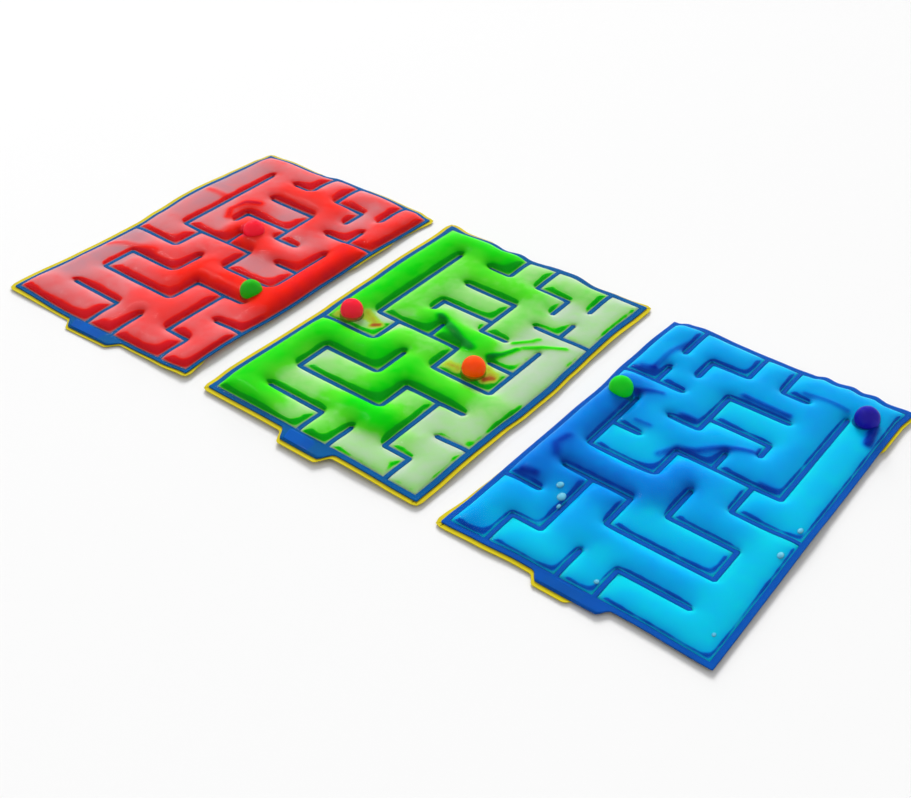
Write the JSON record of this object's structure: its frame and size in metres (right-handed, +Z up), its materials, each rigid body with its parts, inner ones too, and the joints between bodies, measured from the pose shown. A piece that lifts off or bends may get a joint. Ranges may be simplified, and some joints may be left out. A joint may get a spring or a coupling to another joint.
{
  "type": "gel maze pads",
  "caption": "Flat soft pads with mazes welded into clear film, coloured gel in the channels and marbles pushed through it by finger.",
  "frame": {"origin": "centre of the underside of the whole set, on the surface the pads lie on", "axes": "+X across the row of pads, from the red pad to the blue one; +Y along each pad, away from its filling tab; +Z up"},
  "size_m": [0.4654, 0.2264, 0.0145],
  "materials": {
    "clear_film": "gloss",
    "yellow_film": "gloss",
    "blue_weld": "satin",
    "red_gel": "gloss",
    "green_gel": "gloss",
    "blue_gel": "gloss",
    "green_marble": "polished",
    "crimson_marble": "polished",
    "red_marble": "polished",
    "orange_marble": "polished",
    "navy_marble": "polished"
  },
  "bodies": {
    "green_pad": {"green_base_film": "clear_film", "green_edge_rim": "yellow_film", "green_maze_web": "blue_weld", "green_port_seal": "blue_weld", "green_gel_fill": "green_gel", "green_top_film": "clear_film"},
    "red_pad": {"red_base_film": "clear_film", "red_edge_rim": "yellow_film", "red_maze_web": "blue_weld", "red_port_seal": "blue_weld", "red_gel_fill": "red_gel", "red_top_film": "clear_film"},
    "blue_pad": {"blue_base_film": "clear_film", "blue_edge_rim": "yellow_film", "blue_maze_web": "blue_weld", "blue_port_seal": "blue_weld", "blue_gel_fill": "blue_gel", "blue_top_film": "clear_film"},
    "green_marble_in_red": {"red_pad_green_marble": "green_marble"},
    "crimson_marble_in_red": {"red_pad_crimson_marble": "crimson_marble"},
    "red_marble_in_green": {"green_pad_red_marble": "red_marble"},
    "orange_marble_in_green": {"green_pad_orange_marble": "orange_marble"},
    "green_marble_in_blue": {"blue_pad_green_marble": "green_marble"},
    "navy_marble_in_blue": {"blue_pad_navy_marble": "navy_marble"}
  },
  "joints": [
    {"name": "red_pad_lift", "type": "slide", "parent": "green_pad", "child": "red_pad", "axis": [0, 0, 1], "range_m": [0, 0.12]},
    {"name": "blue_pad_lift", "type": "slide", "parent": "green_pad", "child": "blue_pad", "axis": [0, 0, 1], "range_m": [0, 0.12]},
    {"name": "green_marble_in_red_run", "type": "slide", "parent": "red_pad", "child": "green_marble_in_red", "axis": [1, 0, 0], "range_m": [-0.0463, 0.0163]},
    {"name": "crimson_marble_in_red_run", "type": "slide", "parent": "red_pad", "child": "crimson_marble_in_red", "axis": [1, 0, 0], "range_m": [0, 0.0404]},
    {"name": "red_marble_in_green_run", "type": "slide", "parent": "green_pad", "child": "red_marble_in_green", "axis": [0, 1, 0], "range_m": [0, 0.1036]},
    {"name": "orange_marble_in_green_run", "type": "slide", "parent": "green_pad", "child": "orange_marble_in_green", "axis": [1, 0, 0], "range_m": [-0.0123, 0.0081]},
    {"name": "green_marble_in_blue_run", "type": "slide", "parent": "blue_pad", "child": "green_marble_in_blue", "axis": [0, 1, 0], "range_m": [-0.07886, 0.01374]},
    {"name": "navy_marble_in_blue_run", "type": "slide", "parent": "blue_pad", "child": "navy_marble_in_blue", "axis": [0, 1, 0], "range_m": [-0.0925, 0.0111]}
  ]
}
